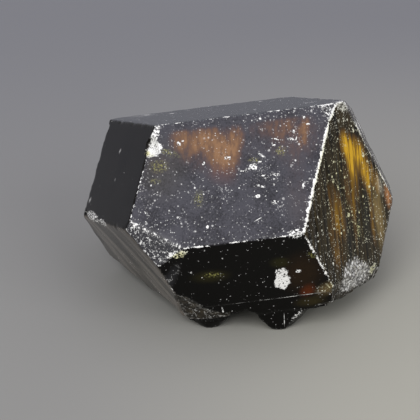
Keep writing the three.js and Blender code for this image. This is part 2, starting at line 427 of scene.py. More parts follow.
def carve_surface(mesh, settings):
    """Flattens the faces, wears the edges, tears the breaks and notes where each of them is."""
    places = vertex_places(mesh)
    rounding = settings.edge_rounding / MM
    snap = settings.cell / MM
    nicks = nick_depth(places, second_gap(face_gaps(places)))
    gap, _ = habit_gap(places, rounding, nicks)
    flat = np.abs(gap) < snap
    for _ in range(FLATTENING_PASSES):
        gap, slope = habit_gap(places[flat], rounding, nicks[flat])
        places[flat] -= (gap / (slope ** 2).sum(1))[:, None] * slope
    gap, _ = habit_gap(places, rounding, nicks)
    torn = np.clip(-gap, 0, None)
    above_foot = smooth(places[:, 2], FOOT_ENDS, FOOT_CLEAR)
    lift = smooth(torn, BREAK_STARTS, BREAK_FULL) * break_relief(places) * above_foot
    places += lift[:, None] * vertex_normals(mesh)
    low, high = (np.array(corner) / MM for corner in CAD_BOX)
    places = np.clip(places, low, high)
    set_places(mesh, places)
    gaps = face_gaps(places)
    width, cover = edge_wear(gaps)
    set_attribute(mesh, "edge_gap", second_gap(gaps))
    set_attribute(mesh, "edge_width", width)
    set_attribute(mesh, "edge_cover", cover)
    set_attribute(mesh, "torn", np.clip(-gaps.max(1), 0, None))
    set_finish(mesh, places)


def set_finish(mesh, points):
    """Notes what finish each face and place has."""
    shares = face_shares(points)
    for finish in sorted({*FACE_FINISHES, *SOFT_PLACES}):
        whole = sum(amount * shares[name] for name, amount in FACE_FINISHES.get(finish, {}).items())
        set_attribute(mesh, finish, whole + spots(points, shares, SOFT_PLACES.get(finish, ())))
    colour, cover = tints(points, shares)
    set_attribute(mesh, "tint_cover", cover)
    for channel, values in zip(TINT_CHANNELS, colour.T):
        set_attribute(mesh, channel, values)
    away, full = nearest_patch(points)
    set_attribute(mesh, "patch_away", away)
    set_attribute(mesh, "patch_full", full)


class Value:
    """A number that varies over the surface. Arithmetic on it adds Math nodes."""

    def __init__(self, shader, socket):
        self.shader = shader
        self.socket = socket

    def join(self, operation, first, second):
        return self.shader.value("ShaderNodeMath", {"operation": operation}, {0: first, 1: second})

    def __add__(self, other):
        return self.join("ADD", self, other)

    def __sub__(self, other):
        return self.join("SUBTRACT", self, other)

    def __rsub__(self, other):
        return self.join("SUBTRACT", other, self)

    def __mul__(self, other):
        return self.join("MULTIPLY", self, other)

    def __truediv__(self, other):
        return self.join("DIVIDE", self, other)

    def highest(self, other):
        return self.join("MAXIMUM", self, other)

    __radd__ = __add__
    __rmul__ = __mul__


class Shader:
    """Adds nodes to one material or world."""

    def __init__(self, owner):
        owner.use_nodes = True
        self.tree = owner.node_tree
        self.tree.nodes.clear()

    def node(self, kind, settings=None, inputs=None):
        """A node of that type, its settings made first and then its sockets."""
        node = self.tree.nodes.new(kind)
        for name, value in (settings or {}).items():
            if name == "stops":
                self.set_stops(node.color_ramp, value)
            else:
                setattr(node, name, value)
        for name, value in (inputs or {}).items():
            socket = node.inputs[name]
            source = getattr(value, "socket", value)
            if isinstance(source, bpy.types.NodeSocket):
                self.tree.links.new(source, socket)
            else:
                socket.default_value = source
        return node

    @staticmethod
    def set_stops(ramp, stops):
        """Gives a ramp its places and colours."""
        while len(ramp.elements) < len(stops):
            ramp.elements.new(1)
        for element, (place, colour) in zip(ramp.elements, stops):
            element.position = place
            element.color = (*colour, 1)

    def value(self, kind, settings, inputs=None, output=0):
        """One output of a new node, as a value that arithmetic works on."""
        return Value(self, self.node(kind, settings, inputs).outputs[output])

    def attribute(self, name):
        """A number that the mesh carries."""
        return self.value("ShaderNodeAttribute", {"attribute_name": name}, output="Fac")

    def places(self):
        """The place on the piece, in millimetres."""
        coordinates = self.node("ShaderNodeTexCoord").outputs["Object"]
        scaled = self.node("ShaderNodeVectorMath", {"operation": "SCALE"}, {0: coordinates, "Scale": 1 / MM})
        return scaled.outputs[0]

    def rise(self, value, low, high):
        """A smooth step from 0 at low to 1 at high."""
        inputs = {"Value": value, "From Min": low, "From Max": high}
        return self.value("ShaderNodeMapRange", {"interpolation_type": "SMOOTHSTEP"}, inputs)

    def noise(self, places, rate, detail, roughness):
        """Smooth noise from 0 to 1 with one wave in about 1 / rate."""
        inputs = {"Vector": places, "Scale": rate, "Detail": detail, "Roughness": roughness}
        return self.value("ShaderNodeTexNoise", {"noise_dimensions": "3D"}, inputs)

    def local(self, places, name, at, size, turn):
        """Places measured from a point of a face, to the right, up and out, in units of size."""
        right, up, out = face_axes(name)
        tilt = Matrix.Rotation(math.radians(turn), 3, out)
        axes = Matrix([tilt @ right, tilt @ up, out]).transposed()
        inputs = {
            "Vector": places,
            "Location": on_face(name, *at),
            "Rotation": axes.to_euler("XYZ"),
            "Scale": Vector(size),
        }
        return self.node("ShaderNodeMapping", {"vector_type": "TEXTURE"}, inputs).outputs[0]

    def spot(self, places, name, at, size, turn, core):
        """1 at a point of a face, falling softly to 0 on an ellipse of that half size."""
        local = self.local(places, name, at, (*size, max(size)), turn)
        away = self.value("ShaderNodeVectorMath", {"operation": "LENGTH"}, {0: local}, "Value")
        return self.rise(away, 1, core)

    def bent(self, places, rate, reach):
        """Places shifted unevenly, by up to that reach, so that round marks turn ragged."""
        inputs = {"Vector": places, "Scale": rate, "Detail": 2.0}
        shift = self.node("ShaderNodeTexNoise", {}, inputs).outputs["Color"]
        inputs = {0: shift, 1: (reach, reach, reach), 2: places}
        return self.node("ShaderNodeVectorMath", {"operation": "MULTIPLY_ADD"}, inputs).outputs[0]

    def specks(self, places, rate, radius, density):
        """Round specks of up to that radius, faint to bright, in that share of cells 1 / rate wide."""
        inputs = {"Vector": places, "Scale": rate}
        cell = self.node("ShaderNodeTexVoronoi", {"voronoi_dimensions": "3D"}, inputs)
        chance = self.node("ShaderNodeSeparateColor", {}, {"Color": cell.outputs["Color"]})
        picked = self.rise(Value(self, chance.outputs[0]) + density, 1.0, 1.02)
        size = (0.3 + 0.7 * Value(self, chance.outputs[1])) * radius * rate
        bright = Value(self, chance.outputs[2])
        away = Value(self, cell.outputs["Distance"]) / size
        return self.rise(away, 1, 0.5) * picked * (0.2 + 0.8 * bright * bright)

    def veins(self, places, rate, width):
        """Thin winding lines."""
        winding = self.noise(places, rate, 3.0, 0.6) - 0.5
        away = self.value("ShaderNodeMath", {"operation": "ABSOLUTE"}, {0: winding})
        return self.rise(away, width, width * 0.4)

    def part(self, vector, axis):
        """One coordinate of a vector."""
        return self.value("ShaderNodeSeparateXYZ", {}, {0: vector}, axis)

    def ramp(self, value, stops):
        """A colour that changes with a value."""
        return self.node("ShaderNodeValToRGB", {"stops": stops}, {0: value}).outputs[0]

    def blend(self, factor, first, second):
        """The first colour where the factor is 0 and the second where it is 1."""
        settings = {"data_type": "RGBA"}
        inputs = {"Factor": factor, 6: colour_of(first), 7: colour_of(second)}
        return self.node("ShaderNodeMix", settings, inputs).outputs[2]


def colour_of(source):
    """A colour as a Mix node takes it: a link as it is, and three numbers with an alpha."""
    return source if isinstance(source, bpy.types.NodeSocket) else (*source, 1)


# Painted glow: brown light coming through the crystal, painted under the faces. Face, place on it, half size,
# turn and strength
BROWN_LIGHT = (
    ("main", (-2.2, 2.9), (1.1, 1.5), 0, 0.5),
    ("main", (-1.5, 2.3), (1.2, 1.9), 0, 0.35),
    ("main", (-0.5, 2.8), (1.0, 1.6), 0, 0.5),
    ("main", (0.4, 2.5), (1.1, 2.2), 0, 0.5),
    ("main", (1.1, 1.6), (1.0, 2.4), -8, 0.6),
    ("main", (1.8, 0.9), (0.9, 2.0), 0, 0.4),
    ("main", (2.1, 2.7), (0.85, 2.2), 0, 0.55),
    ("main", (0.3, 2.0), (4.4, 3.2), 0, 0.34),
    ("main", (4.9, 4.0), (3.6, 1.5), 9, 0.24),
    ("main", (7.2, 3.6), (0.45, 1.9), -6, 0.48),
    ("main", (6.4, 3.2), (3.6, 3.2), 0, 0.34),
    ("main", (-3.6, 0.6), (1.6, 1.6), 0, 0.22),
    ("main", (6.9, -1.0), (1.6, 4.0), 12, 0.18),
    ("rear_right", (1.0, 2.0), (3.0, 3.5), 20, 1.6),
    ("rear", (-2.0, 1.0), (3.0, 2.5), 0, 1.2),
)
BROWN_LIGHT_TOP = (0, 3.9)
BROWN_LIGHT_TURN = 9
BROWN_GLOW_COLOURS = (
    (0.0, (0.06, 0.048, 0.057)),
    (0.3, (0.092, 0.06, 0.057)),
    (0.7, (0.155, 0.087, 0.052)),
    (1.0, (0.235, 0.13, 0.068)),
)

# Painted glow: amber light coming through the crystal, painted into the faces' colour. Face, place on it,
# half size, turn and strength
AMBER_LIGHT = (
    ("striated", (4.75, 2.4), (1.2, 2.6), 13, 0.85),
    ("striated", (6.3, 0.9), (1.0, 3.0), 6, 0.62),
    ("striated", (4.2, 3.7), (1.5, 1.5), 0, 0.3),
    ("striated", (7.7, -0.5), (0.9, 2.2), 18, 0.7),
    ("striated", (5.6, 2.6), (2.0, 1.4), -35, 0.4),
    ("striated", (5.6, 1.6), (2.8, 3.6), 25, 0.26),
    ("striated", (1.3, -0.4), (1.5, 3.2), 6, 0.3),
    ("striated", (1.6, -1.8), (1.6, 2.6), 0, 0.24),
    ("striated", (0.1, -2.8), (1.2, 2.8), -8, 0.22),
    ("striated", (0.4, -4.2), (1.4, 1.6), 0, 0.18),
    ("striated", (4.0, 0.0), (1.7, 3.0), -6, 0.3),
    ("striated", (6.2, -3.0), (0.8, 4.0), -12, 0.35),
    ("striated", (3.4, -2.6), (0.8, 3.6), -10, 0.2),
    ("rear_right", (-4.0, 0.0), (1.6, 4.0), 0, 0.5),
    ("lower_right", (0.0, 0.0), (2.5, 2.5), 0, 0.4),
)
AMBER_GLOW_COLOURS = (
    (0.0, (0.03, 0.022, 0.011)),
    (0.25, (0.085, 0.045, 0.012)),
    (0.6, (0.25, 0.135, 0.012)),
    (1.0, (0.66, 0.38, 0.02)),
)

# Grains of yellow in the faces: face, place on it, half size, turn and strength
YELLOW_GRAINS = (
    ("main", (5.5, 2.0), (0.55, 0.55), 0, 1.0),
    ("main", (-3.5, 0.5), (0.9, 0.7), 0, 1.0),
    ("main", (-2.7, 1.6), (1.0, 0.35), -20, 1.0),
    ("main", (-0.4, -2.0), (0.45, 0.9), 0, 1.0),
    ("main", (-3.7, -0.7), (0.5, 0.3), 0, 1.0),
    ("main", (3.6, 1.2), (0.7, 0.3), 0, 1.0),
    ("front", (-0.4, 0.55), (0.9, 0.3), 0, 1.5),
    ("front", (7.0, 2.2), (0.6, 0.5), 0, 1.0),
    ("striated", (3.77, -3.3), (0.25, 0.7), -15, 1.0),
)

# Where white is tinged yellow
YELLOWED = (
    ("main", (-4.25, 1.65), (0.55, 0.5), 0, 1.4),
    ("left", (2.1, 2.9), (0.5, 0.5), 0, 1.4),
    ("front", (-3.0, 2.5), (1.2, 0.8), 0, 0.9),
    ("striated", (3.77, -3.3), (0.5, 1.0), 0, 1.0),
    ("striated", (4.0, 0.0), (9.0, 9.0), 0, 0.85),
    ("striated", (4.9, -7.2), (0.9, 0.9), 0, 0.8),
    ("front", (8.5, -1.0), (1.5, 1.0), 0, 0.8),
)

# Where the surface is crushed to pale grains
CRUSHED = (
    ("striated", (1.7, -6.2), (2.4, 2.0), 0, 1.0),
    ("striated", (3.6, -7.0), (1.6, 1.6), 0, 0.7),
    ("striated", (5.0, -7.2), (0.7, 0.9), 0, 0.6),
    ("front", (9.1, -1.2), (0.9, 1.1), 0, 0.5),
    ("front", (-0.2, -4.3), (1.7, 1.1), 0, 0.34),
    ("front", (6.2, -4.2), (0.7, 0.8), 0, 0.34),
)

# Where a face is scratched most
SCRATCHED = (
    ("main", (4.2, 1.1), (3.6, 3.0), 0, 1.0),
    ("main", (-1.0, 0.8), (2.2, 1.6), 0, 0.5),
    ("main", (3.0, -3.6), (5.0, 2.0), 0, 0.4),
    ("rear", (0.0, 0.0), (4.0, 4.0), 0, 0.8),
    ("rear_right", (2.0, 1.0), (4.0, 3.0), 0, 0.8),
)

# Where worn corners reach beyond their small faces
WORN_CORNERS = (
    ("striated", (6.3, 6.1), (1.6, 0.7), 0, 1.2),
    ("top", (-8.0, 3.6), (1.2, 0.8), 0, 1.0),
    ("front", (-3.7, 0.0), (0.6, 2.4), -22, 0.4),
    ("main", (-3.9, 3.4), (0.5, 0.9), -15, 0.8),
)

# More dust, and less, than on the rest of a face
DUSTIER = (
    ("main", (-3.9, -2.6), (0.9, 2.6), -12, 0.4),
    ("main", (3.6, 0.4), (2.4, 1.6), 0, 0.25),
    ("main", (-2.5, -0.9), (1.6, 1.0), 0, -0.25),
    ("main", (0.4, 2.2), (3.0, 1.6), 0, -0.2),
    ("striated", (3.5, 5.0), (2.5, 1.8), 0, 0.15),
    ("striated", (5.2, 2.0), (1.6, 2.6), 10, -0.5),
    ("striated", (2.8, -2.5), (2.4, 3.4), 0, 0.2),
    ("front", (8.3, -1.2), (1.4, 0.9), 0, 0.9),
    ("front", (7.0, 2.4), (1.2, 0.8), 0, 0.3),
)

# Soft pale bruises
BRUISES = (
    ("top", (1.8, -8.0), (1.6, 2.4), 0, 0.12),
    ("top", (1.47, -7.9), (0.4, 0.8), 0, 0.35),
    ("top", (0.14, -5.6), (0.3, 0.6), 0, 0.6),
    ("top", (-7.1, -4.2), (0.25, 0.5), 0, 0.45),
    ("left", (-3.63, 0.53), (0.22, 0.22), 0, 0.5),
    ("left", (-1.4, -1.1), (0.2, 0.15), 0, 0.25),
    ("left", (-4.65, -4.53), (0.3, 0.3), 0, 0.4),
)
SOFT_PLACES = {
    "brown": BROWN_LIGHT, "amber": AMBER_LIGHT, "yellow": YELLOW_GRAINS, "yellowed": YELLOWED,
    "crushed": CRUSHED, "scratched": SCRATCHED, "abraded": WORN_CORNERS, "dusty": DUSTIER, "bruised": BRUISES,
}

# Tinted zones: face, place on it, half size, turn, strength and colour
TINTS = (
    # The next two are painted glow: amber and orange light coming through the striated face's rim
    ("striated", (7.2, -3.8), (1.3, 4.4), -7, 0.9, (0.22, 0.155, 0.06)),
    ("striated", (9.2, -2.5), (0.9, 1.5), 0, 0.9, (0.5, 0.22, 0.08)),
    ("striated", (8.3, -1.3), (0.7, 1.2), 10, 0.7, (0.34, 0.32, 0.26)),
    ("striated", (2.2, -2.8), (0.7, 3.4), -7, 0.8, (0.014, 0.017, 0.018)),
    ("striated", (5.2, -3.0), (0.7, 3.6), -15, 0.8, (0.016, 0.018, 0.016)),
    # Painted glow: red light coming through the front face
    ("front", (6.7, -1.3), (0.75, 1.0), -20, 0.9, (0.14, 0.026, 0.003)),
    ("front", (6.2, 0.5), (2.2, 2.6), 0, 0.8, (0.026, 0.013, 0.004)),
    ("front", (8.3, -1.2), (1.5, 0.9), 30, 0.9, (0.17, 0.12, 0.05)),
    ("front", (7.0, -2.5), (1.6, 0.7), 8, 0.8, (0.04, 0.03, 0.008)),
    ("main", (-3.2, 0.2), (2.6, 3.4), 0, 0.55, (0.063, 0.058, 0.048)),
    ("main", (1.2, 0.0), (1.6, 1.2), -20, 0.5, (0.12, 0.062, 0.058)),
    ("main", (6.9, -2.6), (1.4, 2.6), 15, 0.4, (0.085, 0.074, 0.075)),
    ("front", (-0.6, 0.4), (1.9, 0.8), 4, 0.7, (0.03, 0.026, 0.006)),
    ("front", (4.5, 1.5), (1.0, 0.7), 0, 0.7, (0.03, 0.028, 0.005)),
)
TINT_CHANNELS = ("tint_red", "tint_green", "tint_blue")

# White patches with ragged outlines: face, place on it, half size, turn and how full they are
WHITE_PATCHES = (
    ("front", (4.66, 0.5), (0.5, 0.45), 0, 0.72),
    ("front", (4.76, -0.32), (0.6, 0.76), 0, 1.0),
    ("front", (5.88, 0.6), (0.24, 0.14), 10, 0.9),
    ("front", (-3.0, 2.6), (0.8, 0.3), 12, 0.6),
    ("main", (-4.1, 1.95), (0.75, 0.75), -12, 0.95),
    ("main", (-3.95, 3.1), (0.3, 0.85), -20, 0.75),
    ("main", (6.75, -4.5), (0.55, 0.35), 0, 0.6),
    ("left", (-2.2, -4.85), (2.0, 0.35), 16, 0.55),
    ("left", (0.6, -4.0), (0.9, 0.25), 16, 0.5),
    ("right_rim_bevel", (2.9, 0.5), (0.3, 0.9), 5, 0.75),
    ("right_rim_bevel", (2.2, 2.3), (0.3, 0.8), -20, 0.5),
    ("right_rim_bevel", (3.4, -2.9), (0.25, 0.7), 10, 0.5),
    ("front", (6.1, -4.0), (0.25, 0.8), -45, 0.55),
    ("striated", (7.0, 3.9), (0.3, 0.8), 14, 0.7),
    ("striated", (5.3, 6.2), (1.0, 0.45), -20, 0.6),
    ("main", (-2.1, 2.36), (0.14, 0.26), 35, 0.85),
    ("main", (1.55, 1.33), (0.3, 0.18), 12, 0.5),
    ("main", (-0.2, 0.85), (0.1, 0.2), -30, 0.7),
    ("main", (3.51, 0.68), (0.32, 0.3), 0, 0.75),
    ("main", (3.0, 0.4), (0.5, 0.12), 14, 0.5),
    ("main", (5.1, 2.97), (0.5, 0.07), -12, 0.7),
    ("main", (6.22, 3.0), (0.26, 0.12), 0, 0.6),
    ("main", (6.4, 3.66), (0.1, 0.22), 0, 0.7),
    ("main", (4.98, 2.48), (0.12, 0.12), 0, 0.8),
    ("main", (4.07, 1.62), (0.4, 0.09), -32, 0.65),
    ("main", (4.37, -0.1), (0.36, 0.2), -14, 0.45),
    ("main", (5.13, 0.14), (0.44, 0.13), -10, 0.5),
    ("main", (4.09, -0.85), (0.42, 0.1), -16, 0.7),
    ("main", (3.94, -1.65), (0.18, 0.16), 0, 1.0),
    ("main", (5.21, -2.1), (0.3, 0.2), 10, 0.45),
    ("main", (7.45, 4.27), (0.2, 0.1), 0, 0.8),
    ("main", (7.14, 4.8), (0.13, 0.13), 0, 0.8),
    ("main", (7.24, -0.75), (0.1, 0.22), 10, 0.65),
    ("main", (1.34, -4.17), (0.6, 0.05), 10, 0.5),
    ("main", (0.36, -4.2), (0.13, 0.16), 0, 0.9),
    ("main", (-4.19, -3.3), (0.36, 0.08), -40, 0.6),
    ("striated", (4.07, 5.4), (0.12, 0.22), 0, 0.7),
    ("striated", (5.93, 4.06), (0.16, 0.24), 0, 0.7),
    ("striated", (6.65, 1.78), (0.2, 0.24), 0, 0.8),
    ("striated", (1.62, 1.5), (0.18, 0.2), 0, 0.7),
    ("striated", (2.11, 0.75), (0.12, 0.2), 0, 0.8),
    ("striated", (2.83, -1.71), (0.16, 0.2), 0, 0.7),
    ("striated", (3.77, -3.3), (0.2, 0.55), -15, 0.5),
    ("striated", (5.0, -7.15), (0.4, 0.6), 0, 0.6),
)

# Thin white lines: face, middle, half length and half width, and turn
SCORES = (
    ("front", (4.3, -2.03), (4.3, 0.055), 8),
    ("front", (0.4, -3.15), (0.5, 0.07), 102),
    ("front", (5.1, -4.3), (0.8, 0.035), 94),
    ("main", (4.0, -3.5), (0.4, 0.04), 34),
    ("main", (6.6, 3.0), (0.3, 0.05), 80),
)
SCORE_CORE = 0.5

# Noise patterns: waves per millimetre, or in the stretched ones per unit of size, detail and roughness
GRAIN = (7.0, 4.0, 0.65)
RAGGED = (3.2, 5.0, 0.75)
CLOUDS = (0.5, 4.0, 0.6)
STRIPES = (1.0, 3.0, 0.6)
FLAMES = (1.3, 5.0, 0.7)
STREAKS = (1.0, 4.0, 0.65)
BREAK_SHADES = (1.6, 5.0, 0.7)
CLUMPS = (1.1, 3.0, 0.6)
WEAR_GRAIN = (5.5, 3.0, 0.7)
WEAR_SWAY = (0.9, 2.0, 0.5)
PATCH_OUTLINE = (3.2, 4.0, 0.7)

# Stretched patterns: size across, along and out of the face, and turn
STRIPE_STRETCH = ((1.5, 9.0, 3.0), 52)
FLAME_STRETCH = ((0.5, 1.5, 1.0), 0)
STREAK_STRETCH = ((0.36, 4.0, 2.0), -10.4)
SCRATCH_STRETCHES = (((3.2, 1, 20), 12), ((3.0, 1, 20), -28))

# Specks: cells per millimetre and largest radius
FINE_DUST = (8.0, 0.07)
COARSE_DUST = (3.1, 0.13)
SCRATCHES = (2.2, 0.07)
BREAK_FLECKS = (5.0, 0.08)

# Thin winding lines: waves per millimetre and width
BREAK_VEINS = (1.1, 0.018)
WEAR_VEINS = (1.7, 0.03)

# How marks are bent: waves per millimetre and reach
MARKS_BENT = (6.0, 0.16)
CRUSHED_CELLS = 4.5

# Roughness of breaks and of white wear, and what full haze and full grain add to the polish of the faces
BREAK_ROUGHNESS = 0.45
WEAR_ROUGHNESS = 0.8
HAZE_ROUGHNESS = 0.12
GRAIN_ROUGHNESS = 0.1

# Heights of the finest relief, in millimetres: of wear, breaks, clean faces and white patches
WEAR_BUMP = 0.02
BREAK_BUMP = 0.02
FACE_BUMP = 0.004
PATCH_BUMP = 0.03

# Heights above which worn edges show, and above which chips are white
WEAR_STARTS, WEAR_FULL = 1.6, 2.2
CHIPS_START, CHIPS_FULL = 4.6, 5.6


def highest_of(values):
    """The highest of several values."""
    highest = values[0]
    for value in values[1:]:
        highest = highest.highest(value)
    return highest


def face_colours(shader, places, grain, settings):
    """The colours of the clean faces: the black body with haze and painted sheen, painted reflections in grey
    and stripes, and painted glow of the light inside it.
    """
    clouds = shader.rise(shader.noise(places, *CLOUDS), 0.35, 0.65)
    mottle = 0.65 + 0.7 * shader.rise(grain, 0.36, 0.64)
    # Haze and painted sheen: fine scratches and a painted reflection of the overhead light, in clouds
    haze = shader.attribute("haze") * (0.6 + 0.55 * clouds) * mottle
    colour = shader.blend(haze, settings.body_colour, settings.haze_and_sheen_colour)
    # Painted reflection: the top face's pale grey
    colour = shader.blend(shader.attribute("pale") * mottle * 0.9, colour, settings.top_reflection_colour)
    # Painted reflection of the floor, in stripes on the lower left face
    stripes = shader.noise(shader.local(places, "lower_left", (0, 0), *STRIPE_STRETCH), *STRIPES)
    stripes = 0.1 + 0.9 * shader.rise(stripes, 0.36, 0.62)
    colour = shader.blend(shader.attribute("striped") * stripes, colour, settings.lower_left_reflection_colour)
    colour = shader.blend(shader.attribute("abraded") * grain, colour, settings.bevel_colour)

    # Painted glow of brown light under the main face, in flickering tongues that fade towards its top
    flames = shader.noise(shader.local(places, "main", (0, 0), *FLAME_STRETCH), *FLAMES)
    under = shader.local(places, "main", BROWN_LIGHT_TOP, (1, 1, 1), BROWN_LIGHT_TURN)
    below_top = shader.rise(shader.part(under, "Y"), 0.1, -0.3)
    flicker = 0.45 + 0.85 * shader.rise(flames, 0.25, 0.75)
    brown = shader.attribute("brown") * flicker * (0.3 + 0.7 * below_top)
    colour = shader.blend(shader.rise(brown, 0.0, 0.6), colour, shader.ramp(brown, BROWN_GLOW_COLOURS))

    streaks = shader.noise(shader.local(places, "striated", (0, 0), *STREAK_STRETCH), *STREAKS)
    streaks = shader.rise(streaks, 0.34, 0.66)
    streaked = shader.attribute("streaked")
    colour = shader.blend(streaked * streaks, colour, settings.streak_colour)
    # Painted glow of amber light, following the streaks
    amber = shader.attribute("amber") * (0.35 + 0.9 * streaks)
    colour = shader.blend(shader.rise(amber, 0.0, 0.25), colour, shader.ramp(amber, AMBER_GLOW_COLOURS))
    channels = {place: shader.attribute(name) for place, name in enumerate(TINT_CHANNELS)}
    tint = shader.node("ShaderNodeCombineColor", {}, channels).outputs[0]
    pattern = 0.3 + 0.7 * (grain + streaked * (streaks - grain))
    colour = shader.blend(shader.attribute("tint_cover") * pattern, colour, tint)
    grains = shader.attribute("yellow") * shader.rise(grain, 0.45, 0.7)
    return shader.blend(grains, colour, settings.yellow_colour)


def break_colours(shader, places, settings):
    """The colour of the breaks, dark and glassy."""
    shades = shader.noise(places, *BREAK_SHADES)
    return shader.blend(shader.rise(shades, 0.4, 0.75), settings.break_colour, settings.break_light_colour)


def face_marks(shader, places, edge_gap, ragged, crushed):
    """The dust and fine scratches of the faces."""
    bent = shader.bent(places, *MARKS_BENT)
    clumps = shader.rise(shader.noise(places, *CLUMPS), 0.38, 0.66)
    beside_edge = shader.rise(edge_gap, 0.8, 0.0)
    density = shader.attribute("dusty") * (0.3 + 1.2 * clumps + 0.5 * beside_edge) + crushed * 0.5
    streaked = shader.attribute("streaked")
    fine = 0.7 * shader.specks(bent, *FINE_DUST, density)
    coarse = shader.specks(bent, *COARSE_DUST, density * (0.5 + 0.4 * streaked))
    dust = fine.highest(coarse) * (1 + 0.8 * streaked)
    scratch_density = shader.attribute("scratched") * clumps * 0.5
    scratches = [
        shader.specks(shader.local(bent, "main", (0, 0), *stretch), *SCRATCHES, scratch_density)
        for stretch in SCRATCH_STRETCHES
    ]
    network = shader.veins(places, *WEAR_VEINS) * shader.attribute("abraded") * shader.rise(ragged, 0.44, 0.6)
    return highest_of([dust, shader.attribute("bruised"), *scratches, network])


def garnet_finish(settings):
    """The crystal's material: black glassy body, brown light in it, white wear, dust and torn breaks."""
    material = bpy.data.materials.new("garnet")
    shader = Shader(material)
    places = shader.places()
    edge_gap = shader.attribute("edge_gap")
    grain = shader.noise(places, *GRAIN)
    ragged = shader.noise(places, *RAGGED)
    torn = shader.attribute("torn")
    broken = shader.rise(torn, 0.1, 0.2)
    height = shader.part(places, "Z")
    colour = face_colours(shader, places, grain, settings)
    colour = shader.blend(broken, colour, break_colours(shader, places, settings))

    # Crushed corner, and the veins, flecks and pale rims of the breaks
    crushed = shader.attribute("crushed")
    inputs = {"Vector": places, "Scale": CRUSHED_CELLS}
    cobbles = shader.value("ShaderNodeTexVoronoi", {"voronoi_dimensions": "3D"}, inputs)
    cobbled = (0.2 + 0.8 * shader.rise(cobbles, 0.62, 0.3)) * (0.3 + 0.7 * shader.rise(ragged, 0.42, 0.58))
    crushed_grain = shader.rise(crushed + 1.4 * (ragged - 0.5), 0.3, 0.6) * cobbled
    colour = shader.blend(crushed_grain, colour, settings.crushed_colour)
    veins = shader.veins(places, *BREAK_VEINS) * shader.rise(grain, 0.45, 0.6) * 0.7
    rim = shader.rise(torn, 0.35, 0.12) * shader.rise(ragged, 0.52, 0.6) * 0.8
    flecks = shader.specks(places, *BREAK_FLECKS, 0.16 + 0.5 * crushed)
    torn_marks = broken * highest_of([flecks, veins, rim])

    # White wear that breaks up into grains away from each edge
    fine = shader.noise(places, *WEAR_GRAIN) + 0.3 * (shader.noise(places, *WEAR_SWAY) - 0.5)
    spread = 0.32 * edge_gap / shader.attribute("edge_width")
    worn = shader.rise(fine + shader.attribute("edge_cover") - spread, 0.5, 0.56)
    worn = worn * shader.rise(edge_gap, 0.5, 0.3) * shader.rise(height, WEAR_STARTS, WEAR_FULL) * (1 - broken)

    # White patches, chips and thin lines
    outline = 1.3 * (shader.noise(places, *PATCH_OUTLINE) - 0.5)
    full = shader.attribute("patch_full")
    filling = shader.rise(grain, 0.62 - 0.24 * full, 0.66 - 0.24 * full)
    patches = shader.rise(shader.attribute("patch_away") + outline, 1.0, 0.88) * filling
    chipped = shader.rise(torn + 0.5 * outline, 0.14, 0.26)
    chip = chipped * shader.rise(height, CHIPS_START, CHIPS_FULL) * shader.rise(grain, 0.4, 0.46)
    scores = [shader.spot(places, *score, SCORE_CORE) for score in SCORES]
    scores = highest_of(scores) * shader.rise(ragged, 0.38, 0.55)
    patched = patches.highest(chip)

    marks = face_marks(shader, places, edge_gap, ragged, crushed).highest(torn_marks)
    white = highest_of([worn, marks, scores, patched * (0.8 + 0.36 * ragged)])
    worn_colour = shader.blend(shader.attribute("yellowed"), settings.wear_colour, settings.yellowed_colour)
    colour = shader.blend(white, colour, worn_colour)

    clean = settings.polish + HAZE_ROUGHNESS * shader.attribute("haze") + GRAIN_ROUGHNESS * grain
    roughness = highest_of([clean, broken * BREAK_ROUGHNESS, white * WEAR_ROUGHNESS])
    relief = WEAR_BUMP * white * ragged + BREAK_BUMP * broken * ragged + FACE_BUMP * grain
    relief = relief + PATCH_BUMP * patched * cobbles
    bump = shader.node("ShaderNodeBump", {}, {"Height": relief, "Distance": MM, "Strength": 1.0})
    surface = shader.node("ShaderNodeBsdfPrincipled", {}, {
        "Base Color": colour,
        "Roughness": roughness,
        "IOR": settings.refraction,
        "Specular IOR Level": settings.gloss,
        "Normal": bump.outputs[0],
    })
    output = shader.node("ShaderNodeOutputMaterial")
    shader.tree.links.new(surface.outputs[0], output.inputs["Surface"])
    return material


def floor_finish(settings):
    """The floor's material: plain, with painted light: palest at the front right, dimmer towards the back
    left.
    """
    material = bpy.data.materials.new("floor")
    shader = Shader(material)
    places = shader.places()
    nearness = shader.rise(shader.part(places, "Y"), *FLOOR_FAR_TO_NEAR)
    to_the_right = shader.rise(shader.part(places, "X"), *FLOOR_LEFT_TO_RIGHT)
    # Painted pool of light, brightest near the front right
    pale = nearness * (0.42 + 0.58 * to_the_right)
    colour = shader.blend(pale, settings.painted_shade_floor_colour, settings.floor_colour)
    surface = shader.node("ShaderNodeBsdfPrincipled", {}, {
        "Base Color": colour,
        "Roughness": 0.9,
        "Specular IOR Level": 0.1,
    })
    output = shader.node("ShaderNodeOutputMaterial")
    shader.tree.links.new(surface.outputs[0], output.inputs["Surface"])
    return material


